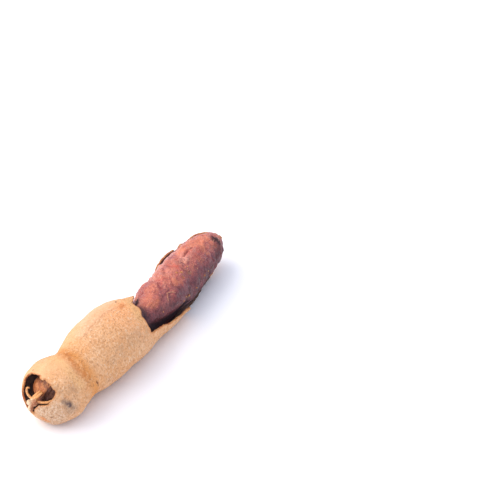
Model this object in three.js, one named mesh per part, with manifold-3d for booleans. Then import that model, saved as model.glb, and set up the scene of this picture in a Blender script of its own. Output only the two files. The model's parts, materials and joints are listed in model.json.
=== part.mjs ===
// A ripe sweet-tamarind pod lying on its side, stem towards -X and tip towards +X.
// The brittle shell is broken open: its roof is gone over the whole tip lobe, and a small
// ragged hole beside the stem shows the end of the pulp. Millimetres, +Z up.
// Three pieces: the shell, the pulp inside it, and the woody stem with its three strands.
import * as THREE from 'three';
import { mergeVertices } from 'three/addons/utils/BufferGeometryUtils.js';
import Module from 'manifold-3d';

// ---- driving dimensions -------------------------------------------------------------

const WALL = 0.9; // thickness of the dry shell
const FLOOR = 0; // the pod lies on this height, on a small flat under each lobe

// Cross-sections of the shell, each [x, y, z, half width, half height]: the centre of an
// upright ellipse and its two radii. The first and last row are the poles.
const SHELL_SECTIONS = [
  [-57.9, -0.9, 10.7, 0, 0], // stem pole
  [-57.2, -0.9, 10.7, 3.6, 3.6],
  [-55.0, -0.8, 10.6, 7.4, 7.4],
  [-51.5, -0.7, 10.5, 10.1, 10.1],
  [-47.0, -0.6, 10.5, 11.1, 11.0], // stem lobe
  [-41.8, -1.2, 10.6, 10.3, 10.2],
  [-36.5, -1.8, 10.9, 9.3, 9.2], // neck
  [-30.0, -1.9, 11.4, 10.6, 10.4],
  [-20.5, -1.7, 11.9, 12.5, 12.2], // middle lobe
  [-10.0, -2.0, 11.5, 11.9, 11.6],
  [-3.0, -2.9, 10.6, 10.2, 10.0],
  [3.0, -3.6, 10.0, 9.4, 9.2], // waist
  [11.0, -3.2, 10.1, 10.3, 10.2],
  [22.0, -1.9, 10.3, 10.8, 10.7], // tip lobe
  [34.0, -0.5, 10.3, 10.8, 10.6],
  [45.0, 0.4, 10.0, 9.8, 9.7],
  [53.0, 0.9, 9.8, 7.4, 7.4],
  [57.6, 1.1, 9.8, 3.9, 3.9],
  [58.9, 1.1, 9.8, 0, 0], // tip pole
];

// Cross-sections of the pulp, which has dried away from the shell all round.
const PULP_SECTIONS = [
  [-54.2, -1.4, 11.6, 0, 0],
  [-53.4, -1.4, 11.6, 3.0, 3.3],
  [-50.4, -1.4, 11.4, 6.2, 6.5],
  [-45.4, -1.4, 11.1, 7.9, 8.1], // in the stem lobe
  [-36.5, -1.8, 10.9, 7.1, 7.0], // in the neck
  [-28.0, -1.9, 11.5, 8.6, 8.6],
  [-19.0, -1.7, 11.8, 9.8, 9.8], // in the middle lobe
  [-9.0, -2.1, 11.4, 9.4, 9.4],
  [-3.0, -2.9, 10.7, 7.9, 7.9],
  [3.0, -3.5, 10.6, 7.5, 7.6], // in the waist
  [11.0, -3.2, 11.6, 8.7, 9.2],
  [17.0, -2.7, 11.3, 8.6, 8.9],
  [25.0, -1.7, 11.0, 9.0, 8.9],
  [35.0, -0.3, 11.0, 9.0, 9.0], // in the tip lobe
  [44.0, 0.3, 10.8, 8.3, 8.2],
  [51.0, 0.5, 10.6, 6.7, 6.6],
  [56.2, 0.6, 10.4, 3.6, 3.6],
  [57.4, 0.6, 10.4, 0, 0],
];

// Angles round the pod are in degrees from straight up (0), through the side at -Y (90),
// to straight down (180). Where the roof is broken off, the opening is bounded by three
// ragged edges: the mouth across the pod, then one edge along each side to the tip.
const MOUTH_EDGE = [ // [angle, x], from the +Y side over the top to the notch
  [-60, -1.5], [-40, -1.0], [-33, -0.2], [-27, -3.4], [-20, -4.4], [1, -5.0], [13, -7.2],
  [27, -7.1], [34, -8.0], [40, -9.2], [57, -9.0], [74, -9.2],
];
const FRONT_EDGE = [ // [x, angle], from the notch along the -Y side, with its thin flap
  [-9.2, 74], [-6.6, 78], [-3.9, 82], [-1.0, 82], [1.3, 85], [4.8, 92], [8.5, 90],
  [11.2, 90], [15.3, 98], [18.2, 109], [18.9, 122], [20.0, 142], [24.0, 150], [31.0, 148],
  [38.0, 156], [50.0, 154], [70.0, 154],
];
const BACK_EDGE = [ // [x, angle], from the top edge along the +Y side
  [-1.5, -60], [2.0, -90], [12.0, -96], [31.0, -92], [34.0, -80], [39.5, -77], [41.0, -86],
  [43.0, -92], [44.3, -80], [45.6, -79], [47.0, -88], [50.5, -70], [55.0, -66], [70.0, -66],
];
const OPENING_END = 66; // the opening runs out past the tip to this x

// The ragged hole at the stem end, as [yaw, pitch] seen from the middle of the stem lobe:
// yaw turns from -X towards +Y, pitch rises towards +Z. The low notch lets the stem out.
const STEM_LOBE_CENTRE = [-47.0, -0.7, 10.5];
const HOLE_EDGE = [
  [25, 2], [36, 10], [38, 25], [49, 36], [50, 42], [46, 48], [36, 54], [21, 57], [11, 59],
  [3, 55], [-5, 55], [-12, 58], [-22, 56], [-31, 51], [-38, 44], [-44, 37], [-41, 32],
  [-36, 25], [-29, 19], [-27, 16], [-15, 13], [-10, 4], [-7, -7], [0, -14], [10, -13],
  [18, -9],
];
const HOLE_MIDDLE = [2, 28];

// The stem and its strands are tubes along smooth curves, as [x, y, z, radius].
const STEM_PATH = [
  [-55.1, 0.7, 12.6, 1.0], [-56.3, 0.6, 12.2, 1.6], [-57.4, 0.3, 11.8, 1.7],
  [-58.4, -0.1, 11.3, 1.5], [-59.2, -0.5, 10.9, 1.2],
];
const STEM_KNOB = { centre: [-57.6, 1.5, 12.5], radius: 0.9 };
const STRANDS = {
  left: [
    [-56.2, 1.0, 12.2, 0.5], [-55.6, 2.4, 12.5, 0.5], [-54.9, 3.6, 12.6, 0.48],
    [-54.2, 4.2, 13.4, 0.45], [-53.7, 4.3, 14.4, 0.42], [-53.5, 3.9, 15.2, 0.4],
    [-53.8, 3.2, 15.3, 0.36],
  ],
  middle: [
    [-56.2, 0.4, 12.4, 0.55], [-55.7, -0.8, 13.5, 0.5], [-54.9, -1.6, 15.0, 0.48],
    [-53.8, -2.2, 16.3, 0.46], [-52.8, -2.6, 17.3, 0.42],
  ],
  right: [
    [-56.4, 0.0, 12.2, 0.55], [-56.0, -1.4, 12.5, 0.52], [-55.7, -2.8, 12.9, 0.5],
    [-55.0, -4.2, 13.1, 0.46], [-54.1, -5.4, 13.3, 0.42], [-53.0, -6.5, 13.7, 0.38],
  ],
};

// ---- fineness of the facets -----------------------------------------------------------

const SHELL_SIDES = 32;
const SHELL_RINGS_PER_ROW = 3;
const PULP_SIDES = 28;
const PULP_RINGS_PER_ROW = 2;
const OPENING_STEPS = { along: 52, across: 32 };

// ---- small helpers ----------------------------------------------------------------------

const wasm = await Module();
wasm.setup();

const radians = THREE.MathUtils.degToRad;

// The value of a [key, value] polyline at a key, straight between its points.
function valueAt(polyline, key) {
  const next = polyline.findIndex(([at]) => at >= key);
  if (next === 0) return polyline[0][1];
  if (next < 0) return polyline[polyline.length - 1][1];
  const [fromKey, fromValue] = polyline[next - 1];
  const [toKey, toValue] = polyline[next];
  return THREE.MathUtils.mapLinear(key, fromKey, toKey, fromValue, toValue);
}

function geometryOf(points, triangles) {
  const geometry = new THREE.BufferGeometry();
  geometry.setAttribute('position', new THREE.Float32BufferAttribute(points.flat(), 3));
  geometry.setIndex(triangles.flat());
  return geometry;
}

function solidOf(geometry) {
  const bare = geometry.clone();
  bare.deleteAttribute('normal');
  bare.deleteAttribute('uv');
  const merged = mergeVertices(bare);
  return new wasm.Manifold(new wasm.Mesh({
    numProp: 3,
    vertProperties: new Float32Array(merged.attributes.position.array),
    triVerts: new Uint32Array(merged.index.array),
  }));
}

function geometryOfSolid(solid) {
  const { numProp, vertProperties, triVerts } = solid.getMesh();
  const positions = new Float32Array((vertProperties.length / numProp) * 3);
  for (let i = 0; i < positions.length / 3; i += 1) {
    positions.set(vertProperties.subarray(i * numProp, i * numProp + 3), i * 3);
  }
  const geometry = new THREE.BufferGeometry();
  geometry.setAttribute('position', new THREE.BufferAttribute(positions, 3));
  geometry.setIndex(new THREE.BufferAttribute(new Uint32Array(triVerts), 1));
  geometry.computeVertexNormals();
  return geometry;
}

// ---- bodies of revolution-like sections: the pod and the pulp ----------------------------

// Past a pole the rows repeat with negative radii, so that the end is round, not pointed.
function sectionRow(rows, index) {
  const last = rows.length - 1;
  if (index >= 0 && index <= last) return rows[index];
  const [x, y, z, width, height] = rows[index < 0 ? -index : 2 * last - index];
  return [x, y, z, -width, -height];
}

// Catmull-Rom through the rows; place counts rows from the stem.
function sectionAt(rows, place) {
  const index = Math.min(Math.floor(place), rows.length - 2);
  const f = place - index;
  const [a, b, c, d] = [-1, 0, 1, 2].map((step) => sectionRow(rows, index + step));
  return b.map((value, k) => 0.5 * (
    2 * value + (c[k] - a[k]) * f
    + (2 * a[k] - 5 * value + 4 * c[k] - d[k]) * f * f
    + (3 * value - a[k] - 3 * c[k] + d[k]) * f * f * f));
}

function pointOnSection([x, y, z, width, height], angle, floor) {
  const side = y - width * Math.sin(angle);
  const up = z + height * Math.cos(angle);
  return [x, side, Math.max(up, floor)];
}

// A closed skin: one ring of points per step, closed by one point at each pole.
function sectionBody(rows, sides, ringsPerRow, floor) {
  const ringCount = (rows.length - 1) * ringsPerRow - 1;
  const points = [rows[0].slice(0, 3)];
  for (let ring = 1; ring <= ringCount; ring += 1) {
    const section = sectionAt(rows, ring / ringsPerRow);
    for (let side = 0; side < sides; side += 1) {
      points.push(pointOnSection(section, (side / sides) * 2 * Math.PI, floor));
    }
  }
  points.push(rows[rows.length - 1].slice(0, 3));
  const tip = points.length - 1;
  const at = (ring, side) => 1 + (ring - 1) * sides + (side % sides);
  const triangles = [];
  for (let side = 0; side < sides; side += 1) {
    triangles.push([0, at(1, side + 1), at(1, side)]);
    for (let ring = 1; ring < ringCount; ring += 1) {
      triangles.push([at(ring, side), at(ring, side + 1), at(ring + 1, side)]);
      triangles.push([at(ring, side + 1), at(ring + 1, side + 1), at(ring + 1, side)]);
    }
    triangles.push([at(ringCount, side), at(ringCount, side + 1), tip]);
  }
  return geometryOf(points, triangles);
}

// The same skin moved inwards by the wall, and kept one wall above the resting flats.
function innerSkin(outer) {
  const inner = outer.clone();
  inner.computeVertexNormals();
  const position = inner.attributes.position;
  const normal = inner.attributes.normal;
  for (let i = 0; i < position.count; i += 1) {
    const point = new THREE.Vector3().fromBufferAttribute(position, i);
    const outward = new THREE.Vector3().fromBufferAttribute(normal, i);
    point.addScaledVector(outward, -WALL);
    position.setXYZ(i, point.x, point.y, Math.max(point.z, FLOOR + WALL));
  }
  return inner;
}

// ---- cutters for the broken-out parts of the shell -----------------------------------------

const CUTTER_START = 0.3; // how near the pod's middle line the side cutter begins
const CUTTER_REACH = 18; // how far from the middle it reaches, well outside the shell

// The middle line of the shell at any x, straight between its sections.
function middleAt(x) {
  const yLine = SHELL_SECTIONS.map((row) => [row[0], row[1]]);
  const zLine = SHELL_SECTIONS.map((row) => [row[0], row[2]]);
  return [valueAt(yLine, x), valueAt(zLine, x)];
}

// A wedge-shaped solid over the opening: along runs from the mouth to past the tip, across
// runs from the back edge over the top to the front edge. All its sides are radial.
function openingCutter() {
  const { along, across } = OPENING_STEPS;
  const firstAngle = MOUTH_EDGE[0][0];
  const lastAngle = MOUTH_EDGE[MOUTH_EDGE.length - 1][0];
  const { lerp } = THREE.MathUtils;
  const place = (p, q) => {
    const mouthX = valueAt(MOUTH_EDGE, lerp(firstAngle, lastAngle, q));
    const backX = lerp(MOUTH_EDGE[0][1], OPENING_END, p);
    const frontX = lerp(FRONT_EDGE[0][0], OPENING_END, p);
    const angle = lerp(valueAt(BACK_EDGE, backX), valueAt(FRONT_EDGE, frontX), q);
    return [lerp(mouthX, OPENING_END, p), radians(angle)];
  };
  const sheet = (radius) => {
    const points = [];
    for (let row = 0; row <= along; row += 1) {
      for (let column = 0; column <= across; column += 1) {
        const [x, angle] = place(row / along, column / across);
        const [y, z] = middleAt(x);
        points.push([x, y - radius * Math.sin(angle), z + radius * Math.cos(angle)]);
      }
    }
    return points;
  };
  const points = [...sheet(CUTTER_REACH), ...sheet(CUTTER_START)];
  const half = points.length / 2;
  const at = (row, column) => row * (across + 1) + column;
  const triangles = [];
  const quad = (a, b, c, d) => triangles.push([a, b, c], [a, c, d]);
  for (let row = 0; row < along; row += 1) {
    for (let column = 0; column < across; column += 1) {
      const corners = [at(row, column), at(row, column + 1),
        at(row + 1, column + 1), at(row + 1, column)];
      quad(...corners);
      quad(...corners.map((corner) => corner + half).reverse());
    }
    const backSide = [at(row, 0), at(row + 1, 0)];
    quad(backSide[0], backSide[1], backSide[1] + half, backSide[0] + half);
    const frontSide = [at(row, across), at(row + 1, across)];
    quad(frontSide[1], frontSide[0], frontSide[0] + half, frontSide[1] + half);
  }
  for (let column = 0; column < across; column += 1) {
    const mouth = [at(0, column), at(0, column + 1)];
    quad(mouth[1], mouth[0], mouth[0] + half, mouth[1] + half);
    const end = [at(along, column), at(along, column + 1)];
    quad(end[0], end[1], end[1] + half, end[0] + half);
  }
  return solidOf(geometryOf(points, triangles));
}

// A cone from the middle of the stem lobe out through the hole's ragged outline.
function stemHoleCutter() {
  const outward = ([yaw, pitch], reach) => {
    const level = reach * Math.cos(radians(pitch));
    return [
      STEM_LOBE_CENTRE[0] - level * Math.cos(radians(yaw)),
      STEM_LOBE_CENTRE[1] + level * Math.sin(radians(yaw)),
      STEM_LOBE_CENTRE[2] + reach * Math.sin(radians(pitch)),
    ];
  };
  const points = [STEM_LOBE_CENTRE, outward(HOLE_MIDDLE, CUTTER_REACH)];
  const triangles = [];
  HOLE_EDGE.forEach((direction, i) => {
    points.push(outward(direction, CUTTER_REACH));
    const here = 2 + i;
    const next = 2 + ((i + 1) % HOLE_EDGE.length);
    triangles.push([0, here, next], [1, next, here]);
  });
  return solidOf(geometryOf(points, triangles));
}

// ---- tubes: the stem and its strands --------------------------------------------------------

// A tube with round ends along a smooth curve, its radius changing from point to point.
function taperedTube(path, sides, stepsPerPoint) {
  const curve = new THREE.CatmullRomCurve3(path.map(([x, y, z]) => new THREE.Vector3(x, y, z)));
  const stepCount = (path.length - 1) * stepsPerPoint;
  const frames = curve.computeFrenetFrames(stepCount);
  const radiusLine = path.map((row, i) => [i / (path.length - 1), row[3]]);
  const points = [];
  const ring = (u, shift, scale) => {
    const step = Math.round(u * stepCount);
    const radius = valueAt(radiusLine, u);
    const centre = curve.getPointAt(u).addScaledVector(frames.tangents[step], shift * radius);
    for (let side = 0; side < sides; side += 1) {
      const angle = (side / sides) * 2 * Math.PI;
      points.push(centre.clone()
        .addScaledVector(frames.normals[step], scale * radius * Math.cos(angle))
        .addScaledVector(frames.binormals[step], scale * radius * Math.sin(angle))
        .toArray());
    }
  };
  const domed = Math.SQRT1_2; // one ring half way round each domed end
  ring(0, -domed, domed);
  for (let step = 0; step <= stepCount; step += 1) ring(step / stepCount, 0, 1);
  ring(1, domed, domed);
  const ringCount = stepCount + 3;
  const pole = (u, shift) => {
    const centre = curve.getPointAt(u);
    const radius = valueAt(radiusLine, u);
    return centre.addScaledVector(frames.tangents[u * stepCount], shift * radius).toArray();
  };
  const first = points.push(pole(0, -1)) - 1;
  const last = points.push(pole(1, 1)) - 1;
  const at = (row, side) => row * sides + (side % sides);
  const triangles = [];
  for (let side = 0; side < sides; side += 1) {
    triangles.push([first, at(0, side + 1), at(0, side)]);
    for (let row = 0; row < ringCount - 1; row += 1) {
      triangles.push([at(row, side), at(row, side + 1), at(row + 1, side)]);
      triangles.push([at(row, side + 1), at(row + 1, side + 1), at(row + 1, side)]);
    }
    triangles.push([at(ringCount - 1, side), at(ringCount - 1, side + 1), last]);
  }
  return solidOf(geometryOf(points, triangles));
}

// ---- the three pieces ------------------------------------------------------------------------

function makeShell() {
  const outer = sectionBody(SHELL_SECTIONS, SHELL_SIDES, SHELL_RINGS_PER_ROW, FLOOR);
  const hollow = solidOf(innerSkin(outer));
  const solid = solidOf(outer).subtract(hollow)
    .subtract(openingCutter())
    .subtract(stemHoleCutter());
  return geometryOfSolid(solid);
}

function makePulp() {
  return sectionBody(PULP_SECTIONS, PULP_SIDES, PULP_RINGS_PER_ROW, FLOOR);
}

function makeStem() {
  const knob = new THREE.SphereGeometry(STEM_KNOB.radius, 12, 8).translate(...STEM_KNOB.centre);
  let solid = taperedTube(STEM_PATH, 14, 2).add(solidOf(knob));
  for (const path of Object.values(STRANDS)) {
    solid = solid.add(taperedTube(path, 8, 3));
  }
  return geometryOfSolid(solid);
}

const materials = {
  shell: new THREE.MeshStandardMaterial({ color: '#e3ae80', roughness: 0.85, metalness: 0 }),
  pulp: new THREE.MeshStandardMaterial({ color: '#8d5350', roughness: 0.4, metalness: 0 }),
  stem: new THREE.MeshStandardMaterial({ color: '#b5855a', roughness: 0.8, metalness: 0 }),
};

const pod = new THREE.Group();
const pieces = { shell: makeShell(), pulp: makePulp(), stem: makeStem() };
for (const [name, geometry] of Object.entries(pieces)) {
  const mesh = new THREE.Mesh(geometry, materials[name]);
  mesh.name = name;
  pod.add(mesh);
}

// The origin is on the surface, under the middle of the pod's own box.
const box = new THREE.Box3().setFromObject(pod);
const middle = box.getCenter(new THREE.Vector3());
for (const mesh of pod.children) mesh.position.set(-middle.x, -middle.y, -box.min.z);

export default pod;
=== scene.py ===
# %% [markdown]
# # A ripe tamarind pod, broken open
#
# A sweet-tamarind pod is a brittle tan husk round a long mass of sticky red-brown pulp.
# This pod lies on its side. The roof of its husk is gone over the tip lobe, so the pulp
# shows bare in a trough, and a ragged hole beside the stem shows the pulp's other end.
#
# The CAD model gives the frame: three solids called shell, pulp and stem, in metres, with
# the stem towards -X and the tip towards +X. Each is replaced here by a finer piece that
# keeps its form, and a few threads and crumbs are added on top.

# %% Load the frame
import json
import math

import bpy
import numpy as np
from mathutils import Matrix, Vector, noise

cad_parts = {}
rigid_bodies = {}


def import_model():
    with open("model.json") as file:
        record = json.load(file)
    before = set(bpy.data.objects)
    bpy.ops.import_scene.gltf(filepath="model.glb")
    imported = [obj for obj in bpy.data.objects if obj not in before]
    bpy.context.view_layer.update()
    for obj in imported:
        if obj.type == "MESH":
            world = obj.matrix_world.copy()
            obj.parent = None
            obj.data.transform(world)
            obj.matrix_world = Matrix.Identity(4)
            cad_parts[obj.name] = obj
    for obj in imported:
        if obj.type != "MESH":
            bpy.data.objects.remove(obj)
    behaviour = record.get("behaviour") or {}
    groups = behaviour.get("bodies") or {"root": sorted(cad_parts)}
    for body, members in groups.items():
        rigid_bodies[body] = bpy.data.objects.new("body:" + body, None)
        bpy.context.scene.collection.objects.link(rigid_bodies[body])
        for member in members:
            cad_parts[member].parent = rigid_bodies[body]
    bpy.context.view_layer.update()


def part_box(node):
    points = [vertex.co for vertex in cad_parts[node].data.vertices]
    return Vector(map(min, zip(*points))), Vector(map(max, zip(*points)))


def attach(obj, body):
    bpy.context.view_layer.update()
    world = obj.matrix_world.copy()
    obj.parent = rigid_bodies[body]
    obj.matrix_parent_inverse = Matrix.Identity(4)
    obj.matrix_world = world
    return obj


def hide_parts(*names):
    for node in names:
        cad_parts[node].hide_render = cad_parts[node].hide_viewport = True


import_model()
MM = 0.001  # one millimetre in Blender's metres
noise.seed_set(11)  # without a seed, the noise vectors would differ from run to run

# %% [markdown]
# ## The sections of the pod
#
# A lumpy pod is easiest to describe by slices. Each row below is one upright ellipse
# across the pod: its x, the y and z of its centre, its half width and its half height, in
# millimetres. They are the rows that the CAD solids were lofted through, so the finer
# pieces follow the same lobes, neck and waist.

# %% Section rows
HUSK_WALL = 0.9  # mm thick
HUSK_ROWS = [
    (-57.9, -0.9, 10.7, 0, 0),  # stem pole
    (-57.2, -0.9, 10.7, 3.6, 3.6),
    (-55.0, -0.8, 10.6, 7.4, 7.4),
    (-51.5, -0.7, 10.5, 10.1, 10.1),
    (-47.0, -0.6, 10.5, 11.1, 11.0),  # stem lobe
    (-41.8, -1.2, 10.6, 10.3, 10.2),
    (-36.5, -1.8, 10.9, 9.3, 9.2),  # neck
    (-30.0, -1.9, 11.4, 10.6, 10.4),
    (-20.5, -1.7, 11.9, 12.5, 12.2),  # middle lobe
    (-10.0, -2.0, 11.5, 11.9, 11.6),
    (-3.0, -2.9, 10.6, 10.2, 10.0),
    (3.0, -3.6, 10.0, 9.4, 9.2),  # waist
    (11.0, -3.2, 10.1, 10.3, 10.2),
    (22.0, -1.9, 10.3, 10.8, 10.7),  # tip lobe
    (34.0, -0.5, 10.3, 10.8, 10.6),
    (45.0, 0.4, 10.0, 9.8, 9.7),
    (53.0, 0.9, 9.8, 7.4, 7.4),
    (57.6, 1.1, 9.8, 3.9, 3.9),
    (58.9, 1.1, 9.8, 0, 0),  # tip pole
]
PULP_ROWS = [
    (-54.2, -1.4, 11.6, 0, 0),
    (-53.4, -1.4, 11.6, 3.0, 3.3),
    (-50.4, -1.4, 11.4, 6.2, 6.5),
    (-45.4, -1.4, 11.1, 7.9, 8.1),  # in the stem lobe
    (-36.5, -1.8, 10.9, 7.1, 7.0),  # in the neck
    (-28.0, -1.9, 11.5, 8.6, 8.6),
    (-19.0, -1.7, 11.8, 9.8, 9.8),  # in the middle lobe
    (-9.0, -2.1, 11.4, 9.4, 9.4),
    (-3.0, -2.9, 10.7, 7.9, 7.9),
    (3.0, -3.5, 10.6, 7.5, 7.6),  # in the waist
    (11.0, -3.2, 11.6, 8.7, 9.2),
    (17.0, -2.7, 11.3, 8.6, 8.9),
    (25.0, -1.7, 11.0, 9.0, 8.9),
    (35.0, -0.3, 11.0, 9.0, 9.0),  # in the tip lobe
    (44.0, 0.3, 10.8, 8.3, 8.2),
    (51.0, 0.5, 10.6, 6.7, 6.6),
    (56.2, 0.6, 10.4, 3.6, 3.6),
    (57.4, 0.6, 10.4, 0, 0),
]
print("husk rows:", len(HUSK_ROWS), "pulp rows:", len(PULP_ROWS))

# %% [markdown]
# ## A smooth skin through the rows
#
# A Catmull-Rom curve passes through every row and bends smoothly between them. Past an
# end the rows are mirrored through the axis, with negative radii, which makes the end a
# round dome. The skin is then described by two numbers: how far along the profile a point
# lies, in millimetres of skin, and its angle round the pod, 0 at the top, 90 on the -Y
# side and 180 underneath.

# %% Profile of a pod
SAMPLES_PER_ROW = 80


def section_at(rows, place):
    """The Catmull-Rom section at a place counted in rows from the stem."""
    last = len(rows) - 1
    index = min(int(place), last - 1)
    f = place - index
    near = []
    for step in (index - 1, index, index + 1, index + 2):
        row = np.array(rows[abs(step) if step <= last else 2 * last - step], float)
        if step < 0 or step > last:
            row[3:] *= -1
        near.append(row)
    a, b, c, d = near
    return 0.5 * (
        2 * b + (c - a) * f + (2 * a - 5 * b + 4 * c - d) * f**2 + (3 * b - a - 3 * c + d) * f**3
    )


def profile_of(rows):
    """Finely spaced sections, and how far along the skin each one is."""
    places = np.linspace(0, len(rows) - 1, (len(rows) - 1) * SAMPLES_PER_ROW + 1)
    sections = np.array([section_at(rows, place) for place in places])
    steps = np.diff(sections[:, [0, 4]], axis=0)
    along = np.concatenate([[0], np.cumsum(np.hypot(steps[:, 0], steps[:, 1]))])
    return along, sections


husk_profile = profile_of(HUSK_ROWS)
pulp_profile = profile_of(PULP_ROWS)

# The frame's origin is under the middle of the pod's box, so the rows are shifted to it.
pulp_low, pulp_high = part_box("pulp")
SHIFT = Vector((
    pulp_low[0] / MM - PULP_ROWS[0][0],
    pulp_high[1] / MM - max(section_at(PULP_ROWS, p / 2)[1] + section_at(PULP_ROWS, p / 2)[3]
                            for p in range(2 * len(PULP_ROWS) - 1)),
    0,
))
print("skin length in mm:", round(husk_profile[0][-1], 1), "shift:", SHIFT[:])


def skin_sections(profile, along):
    """x, y, z, half width and half height at each distance along the skin."""
    return np.stack([np.interp(along, profile[0], column) for column in profile[1].T], axis=-1)


def skin_points(profile, along, angle):
    """Points on the skin in millimetres; none lies below the surface the pod rests on."""
    x, y, z, width, height = skin_sections(profile, along).T
    turn = np.radians(angle)
    up = np.maximum(z + height * np.cos(turn), 0)
    return np.stack([x, y - width * np.sin(turn), up], axis=-1)


def at_x(profile, x):
    """How far along the skin a section at x lies."""
    return np.interp(x, profile[1][:, 0], profile[0])


# %% [markdown]
# ## Camera
#
# The pod is seen from its stem end, from above: the camera stands about 40 cm away, turned
# 30 degrees from the pod's length and looking 34 degrees down, with a long lens that keeps
# the lobes round.

# %% Camera
CAMERA_PLACE = Vector((-256.25, -197.55, 255.50)) + SHIFT  # mm
CAMERA_DOWN = 34.0
CAMERA_BEARING = 30.24  # from +X towards +Y
LENS = 80.0

bpy.ops.object.select_all(action="DESELECT")
bpy.ops.object.camera_add(
    location=CAMERA_PLACE * MM,
    rotation=(math.radians(90 - CAMERA_DOWN), 0, math.radians(CAMERA_BEARING - 90)),
)
camera = bpy.context.object
camera.name = "camera"
camera.data.lens = LENS
camera.data.sensor_width = 36
camera.data.clip_start = 0.01
camera.data.clip_end = 20
bpy.context.scene.camera = camera
print("camera at mm:", [round(v / MM) for v in camera.location])

# %% [markdown]
# ## Two helpers, for colours and for nodes
#
# A hex colour is what a screen shows, in sRGB, while a shader reckons in linear light, so
# one function turns the first into the second. The other adds a node and sets it up in one
# call, where by hand it would be added from a menu, filled in and wired.

# %% Colours and nodes


def srgb(code):
    """A '#rrggbb' colour as linear RGBA."""
    parts = [int(code[i : i + 2], 16) / 255 for i in (1, 3, 5)]
    return [p / 12.92 if p <= 0.04045 else ((p + 0.055) / 1.055) ** 2.4 for p in parts] + [1]


def add_node(tree, kind, inputs=None, **settings):
    """Adds a node. Inputs are values or other nodes' outputs; settings are its properties."""
    node = tree.nodes.new(kind)
    for name, value in settings.items():
        setattr(node, name, value)
    for name, value in (inputs or {}).items():
        if isinstance(value, bpy.types.NodeSocket):
            tree.links.new(value, node.inputs[name])
        else:
            node.inputs[name].default_value = value
    return node


print("middle grey #808080 in linear light:", round(srgb("#808080")[0], 3))

# %% [markdown]
# ## Floor and light
#
# A white table top and a bright, even white room give the high-key look in which the table
# burns out to white. One large soft lamp stands behind the pod on its +Y side, so that the
# upper left of every lobe is brightest and the shadow falls softly towards the camera's
# lower right. A weaker one overhead fills in. The Standard view keeps white pure.

# %% Table top, room light and lamps
scene = bpy.context.scene
scene.view_settings.view_transform = "Standard"
scene.view_settings.look = "None"

bpy.ops.mesh.primitive_plane_add(size=6, location=(0, 0, 0))
table_top = bpy.context.object
table_top.name = "table_top"
table_paint = bpy.data.materials.new("white_laminate_table")
table_paint.use_nodes = True
table_shader = table_paint.node_tree.nodes["Principled BSDF"]
table_shader.inputs["Base Color"].default_value = srgb("#f9fbff")
table_shader.inputs["Roughness"].default_value = 0.9
table_shader.inputs["Specular IOR Level"].default_value = 0.1
table_top.data.materials.append(table_paint)

room = bpy.data.worlds.new("bright_room")
room.use_nodes = True
room.node_tree.nodes["Background"].inputs["Color"].default_value = srgb("#eef1ff")
room.node_tree.nodes["Background"].inputs["Strength"].default_value = 0.98
scene.world = room


def add_lamp(name, direction, distance, size, power, colour):
    """A square soft lamp that stands at a distance in a direction and faces the pod."""
    place = Vector(direction).normalized() * distance
    bpy.ops.object.light_add(type="AREA", location=place)
    lamp = bpy.context.object
    lamp.name = name
    lamp.data.size = size
    lamp.data.energy = power
    lamp.data.color = srgb(colour)[:3]
    lamp.rotation_euler = (-place).to_track_quat("-Z", "Y").to_euler()
    return lamp


add_lamp("soft_key", direction=(-0.35, 0.62, 0.72), distance=0.9, size=1.00, power=6.8, colour="#fff4e6")
add_lamp("soft_top", direction=(-0.5, -0.1, 1.0), distance=1.1, size=0.9, power=2.5, colour="#ffffff")

# %% [markdown]
# ## Where the husk is broken
#
# The husk was cracked by hand, so its edges are ragged. The opening is bounded by three
# lines: the mouth across the pod, a front edge along the -Y side with a thin flap, and a
# back edge along the +Y side. The hole at the stem end is an outline of directions seen
# from the middle of the stem lobe. Each line is a short list of corners with small bites
# added between them.

# %% Lines of the break
MOUTH_EDGE = [  # angle, x
    (-60, 0.6), (-42, 1.9), (-34, 1.9), (-25, 0.2), (-14, -1.2), (-1, -3.9), (8, -6.4), (14, -7.2),
    (27, -7.1), (34, -8.0), (40, -9.2), (57, -9.0), (74, -9.2),
]
FRONT_EDGE = [  # x, angle
    (-9.2, 76), (-6.7, 81), (-4.2, 83), (-1.8, 83), (0.1, 85), (3.2, 92), (5.0, 95), (7.0, 96),
    (9.8, 98), (12.8, 102), (15.3, 105), (18.5, 114), (20.0, 122), (20.8, 142), (24.0, 150), (31.0, 148),
    (38.0, 156), (50.0, 154), (70.0, 154),
]
BACK_EDGE = [  # x, angle
    (0.6, -60), (3.0, -88), (12.0, -96), (26.0, -92), (28.5, -80), (30.7, -74), (33.0, -72),
    (35.5, -72), (38.0, -75), (40.3, -78), (41.3, -86), (43.0, -90), (43.8, -80), (44.9, -74),
    (45.8, -78), (47.0, -84), (49.3, -73), (51.6, -63), (54.6, -57), (56.7, -48), (70.0, -46),
]
TIP_CUP_X = 58.2  # the husk stays whole round the tip pole, past this x
LOBE_CENTRE = np.array((-47.0, -0.7, 10.5))
LOBE_RADIUS = 11.0
HOLE_EDGE = [  # yaw from -X towards +Y, pitch towards +Z
    (33, -3), (43, 8), (46, 25), (55, 36), (56, 43), (51, 50), (38, 56), (22, 60), (11, 61),
    (3, 57), (-5, 56), (-12, 58), (-22, 56), (-31, 51), (-38, 44), (-44, 37), (-41, 32),
    (-36, 25), (-29, 19), (-25, 15), (-10, 12), (-3, 4), (0, -6), (4, -15), (13, -16),
    (25, -14),
]
HOLE_MIDDLE = (2, 28)
print("break lines:", len(MOUTH_EDGE) + len(FRONT_EDGE) + len(BACK_EDGE), "corners")

# %% How far inside the break a point lies


def bites(points, size, depth):
    """Small random steps in and out, of a given size, at each point in millimetres."""
    return depth * np.array([noise.noise(Vector(point) / size) for point in points])


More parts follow.
